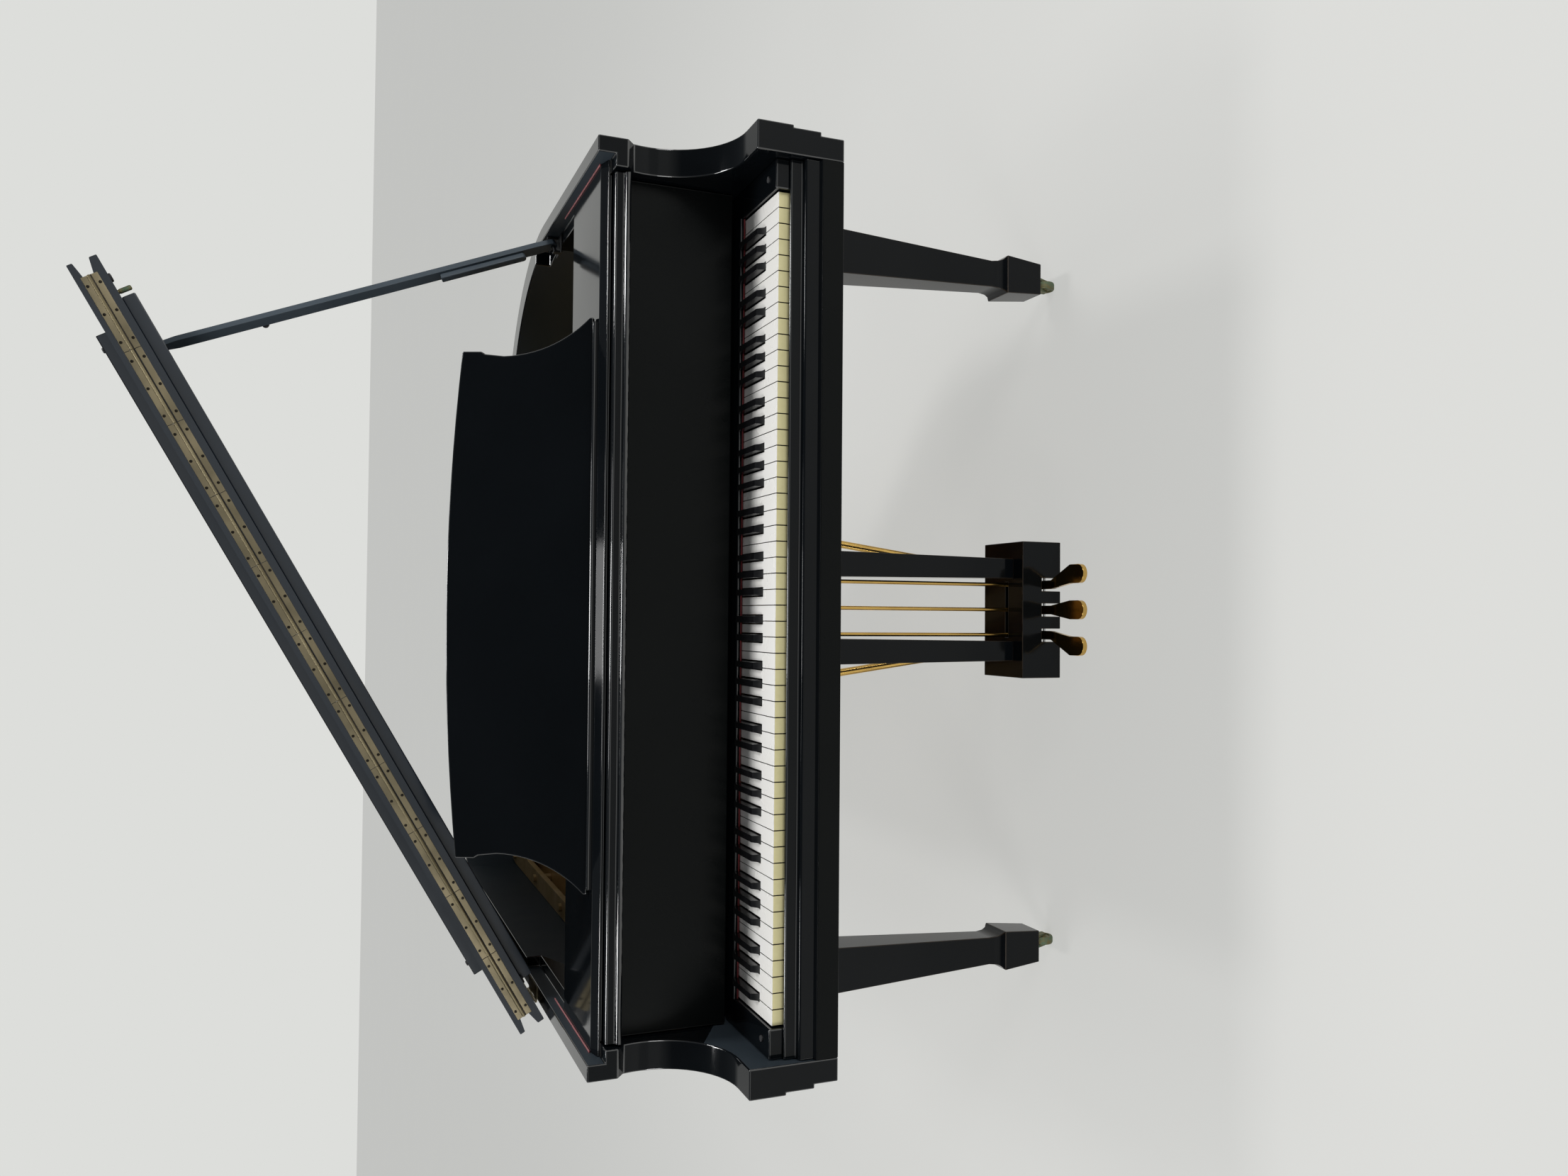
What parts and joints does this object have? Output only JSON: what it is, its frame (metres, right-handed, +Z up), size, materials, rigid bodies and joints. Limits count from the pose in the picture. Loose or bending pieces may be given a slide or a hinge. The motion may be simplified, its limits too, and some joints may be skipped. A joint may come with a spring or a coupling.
{
  "type": "grand piano",
  "caption": "Black grand piano with its lid propped open, folded front flap, raised music desk, full keyboard, tapered square legs on casters and a pedal lyre",
  "frame": {"origin": "on the floor under the middle of the keyboard, with Y zero at the front edge of the natural keys", "axes": "X to the treble side, Y away from the player, Z up"},
  "size_m": [1.4406, 1.712, 1.7279],
  "materials": {
    "black_lacquer": "black lacquer rubbed to a soft gloss over veneered wood",
    "maple": "plain planed hardwood",
    "spruce": "varnished softwood",
    "gold_iron": "gold bronze paint on cast iron",
    "string_steel": "drawn steel",
    "copper_winding": "copper winding, dulled",
    "red_felt": "red wool felt",
    "ivory": "warm white key tops with cream fronts",
    "ebony": "polished black",
    "hammer_felt": "pale pressed felt on a wooden shank",
    "damper_black": "black stained head with a felt foot",
    "brass": "polished brass",
    "aged_brass": "brass with a greenish patina",
    "axle_steel": "plain steel rod"
  },
  "bodies": {
    "case": {"outer_rim": "black_lacquer", "inner_rim": "maple", "bracing_beams": "spruce", "soundboard": "spruce", "soundboard_ribs": "spruce", "string_bridges": "maple", "pin_block": "maple", "iron_plate": "gold_iron", "plate_bolts": "gold_iron", "plain_strings": "string_steel", "bass_strings": "copper_winding", "tuning_pins": "string_steel", "keybed": "black_lacquer", "key_slip": "black_lacquer", "key_blocks": "black_lacquer", "name_rail": "black_lacquer", "name_felt": "red_felt", "stretcher": "black_lacquer", "key_frame": "maple", "action_frame": "maple", "front_left_leg": "black_lacquer", "front_right_leg": "black_lacquer", "rear_leg": "black_lacquer", "lyre_posts": "black_lacquer", "pedal_box": "black_lacquer", "pedal_axle": "axle_steel", "lyre_braces": "black_lacquer", "lid_hinge_case_leaves": "brass", "prop_bracket": "brass", "tray_felts": "red_felt"},
    "lid": {"lid_main": "black_lacquer", "lid_batten": "black_lacquer", "flap_hinge_lid_leaf": "brass", "lid_hinge_lid_leaves": "brass"},
    "flap": {"lid_flap": "black_lacquer", "flap_hinge_flap_leaf": "brass"},
    "lid_prop": {"lid_prop": "black_lacquer"},
    "short_prop": {"short_prop": "black_lacquer"},
    "fallboard": {"fallboard": "black_lacquer"},
    "music_tray": {"music_tray": "black_lacquer"},
    "music_desk": {"music_desk": "black_lacquer"},
    "desk_stay": {"desk_stay": "black_lacquer"},
    "front_left_caster_fork": {"front_left_caster_fork": "aged_brass"},
    "front_left_caster_wheel": {"front_left_caster_wheel": "aged_brass"},
    "front_right_caster_fork": {"front_right_caster_fork": "aged_brass"},
    "front_right_caster_wheel": {"front_right_caster_wheel": "aged_brass"},
    "rear_caster_fork": {"rear_caster_fork": "aged_brass"},
    "rear_caster_wheel": {"rear_caster_wheel": "aged_brass"},
    "left_pedal": {"left_pedal": "brass"},
    "left_pedal_rod": {"left_pedal_rod": "brass"},
    "middle_pedal": {"middle_pedal": "brass"},
    "middle_pedal_rod": {"middle_pedal_rod": "brass"},
    "right_pedal": {"right_pedal": "brass"},
    "right_pedal_rod": {"right_pedal_rod": "brass"},
    "natural_keys": {"natural_keys": "ivory"},
    "natural_hammers": {"natural_hammers": "hammer_felt"},
    "natural_dampers": {"natural_dampers": "damper_black"},
    "sharp_keys": {"sharp_keys": "ebony"},
    "sharp_hammers": {"sharp_hammers": "hammer_felt"},
    "sharp_dampers": {"sharp_dampers": "damper_black"}
  },
  "joints": [
    {"name": "lid_hinge", "type": "hinge", "parent": "case", "child": "lid", "pos_m": [-0.7062, 0.96, 0.9785], "axis": [0, -1, 0], "range_deg": [0, 40]},
    {"name": "flap_hinge", "type": "hinge", "parent": "lid", "child": "flap", "pos_m": [-0.10469, 0.4525, 1.34957], "axis": [0.8712, 0, 0.4909], "range_deg": [0, 180]},
    {"name": "prop_hinge", "type": "hinge", "parent": "case", "child": "lid_prop", "pos_m": [0.664, 0.545, 0.9625], "axis": [-0.7929, -0.5761, -0.1986], "range_deg": [0, 72]},
    {"name": "short_prop_hinge", "type": "hinge", "parent": "lid_prop", "child": "short_prop", "pos_m": [0.63434, 0.546, 1.01608], "axis": [-0.7929, -0.5761, -0.1986], "range_deg": [-60, 0]},
    {"name": "fallboard_hinge", "type": "hinge", "parent": "case", "child": "fallboard", "pos_m": [0, 0.172, 0.758], "axis": [1, 0, 0], "range_deg": [0, 80]},
    {"name": "tray_slide", "type": "slide", "parent": "case", "child": "music_tray", "axis": [0, -1, 0], "range_m": [0, 0.12]},
    {"name": "desk_hinge", "type": "hinge", "parent": "music_tray", "child": "music_desk", "pos_m": [0, 0.19514, 0.9603], "axis": [-1, 0, 0], "range_deg": [0, 60]},
    {"name": "stay_hinge", "type": "hinge", "parent": "music_desk", "child": "desk_stay", "pos_m": [0, 0.24787, 1.06818], "axis": [1, 0, 0], "range_deg": [0, 116.4]},
    {"name": "front_left_swivel", "type": "hinge", "parent": "case", "child": "front_left_caster_fork", "pos_m": [-0.643, 0.345, 0.05], "axis": [0, 0, 1], "continuous": true},
    {"name": "front_left_wheel_axle", "type": "hinge", "parent": "front_left_caster_fork", "child": "front_left_caster_wheel", "pos_m": [-0.643, 0.361, 0.022], "axis": [1, 0, 0], "continuous": true},
    {"name": "front_right_swivel", "type": "hinge", "parent": "case", "child": "front_right_caster_fork", "pos_m": [0.643, 0.345, 0.05], "axis": [0, 0, 1], "continuous": true},
    {"name": "front_right_wheel_axle", "type": "hinge", "parent": "front_right_caster_fork", "child": "front_right_caster_wheel", "pos_m": [0.643, 0.361, 0.022], "axis": [1, 0, 0], "continuous": true},
    {"name": "rear_swivel", "type": "hinge", "parent": "case", "child": "rear_caster_fork", "pos_m": [-0.23, 1.4, 0.05], "axis": [0, 0, 1], "continuous": true},
    {"name": "rear_wheel_axle", "type": "hinge", "parent": "rear_caster_fork", "child": "rear_caster_wheel", "pos_m": [-0.23, 1.416, 0.022], "axis": [1, 0, 0], "continuous": true},
    {"name": "left_pedal_hinge", "type": "hinge", "parent": "case", "child": "left_pedal", "pos_m": [-0.0465, 0.24, 0.0995], "axis": [1, 0, 0], "range_deg": [0, 6], "stiffness_Nm_per_rad": 20},
    {"name": "left_rod_slide", "type": "slide", "parent": "case", "child": "left_pedal_rod", "axis": [0, 0, 1], "range_m": [0, 0.00385]},
    {"name": "middle_pedal_hinge", "type": "hinge", "parent": "case", "child": "middle_pedal", "pos_m": [0, 0.24, 0.0995], "axis": [1, 0, 0], "range_deg": [0, 6], "stiffness_Nm_per_rad": 20},
    {"name": "middle_rod_slide", "type": "slide", "parent": "case", "child": "middle_pedal_rod", "axis": [0, 0, 1], "range_m": [0, 0.00385]},
    {"name": "right_pedal_hinge", "type": "hinge", "parent": "case", "child": "right_pedal", "pos_m": [0.0465, 0.24, 0.0995], "axis": [1, 0, 0], "range_deg": [0, 6], "stiffness_Nm_per_rad": 20},
    {"name": "right_rod_slide", "type": "slide", "parent": "case", "child": "right_pedal_rod", "axis": [0, 0, 1], "range_m": [0, 0.00385]},
    {"name": "natural_key_balance", "type": "hinge", "parent": "case", "child": "natural_keys", "pos_m": [0, 0.22, 0.703], "axis": [1, 0, 0], "range_deg": [0, 2.6], "stiffness_Nm_per_rad": 60},
    {"name": "natural_hammer_hinge", "type": "hinge", "parent": "case", "child": "natural_hammers", "pos_m": [0, 0.357, 0.8], "axis": [1, 0, 0], "range_deg": [0, 20]},
    {"name": "natural_damper_slide", "type": "slide", "parent": "case", "child": "natural_dampers", "axis": [0, 0, 1], "range_m": [0, 0.006]},
    {"name": "sharp_key_balance", "type": "hinge", "parent": "case", "child": "sharp_keys", "pos_m": [0, 0.22, 0.703], "axis": [1, 0, 0], "range_deg": [0, 2.6], "stiffness_Nm_per_rad": 60},
    {"name": "sharp_hammer_hinge", "type": "hinge", "parent": "case", "child": "sharp_hammers", "pos_m": [0, 0.357, 0.8], "axis": [1, 0, 0], "range_deg": [0, 20]},
    {"name": "sharp_damper_slide", "type": "slide", "parent": "case", "child": "sharp_dampers", "axis": [0, 0, 1], "range_m": [0, 0.006]}
  ],
  "couplings": [
    {"joint": "left_rod_slide", "follows": "left_pedal_hinge", "m_per_rad": 0.0366},
    {"joint": "middle_rod_slide", "follows": "middle_pedal_hinge", "m_per_rad": 0.0366},
    {"joint": "right_rod_slide", "follows": "right_pedal_hinge", "m_per_rad": 0.0366},
    {"joint": "stay_hinge", "follows": "desk_hinge", "ratio": 1.931},
    {"joint": "natural_hammer_hinge", "follows": "natural_key_balance", "ratio": 7.692},
    {"joint": "natural_damper_slide", "follows": "natural_key_balance", "m_per_rad": 0.132},
    {"joint": "sharp_hammer_hinge", "follows": "sharp_key_balance", "ratio": 7.692},
    {"joint": "sharp_damper_slide", "follows": "sharp_key_balance", "m_per_rad": 0.132}
  ]
}
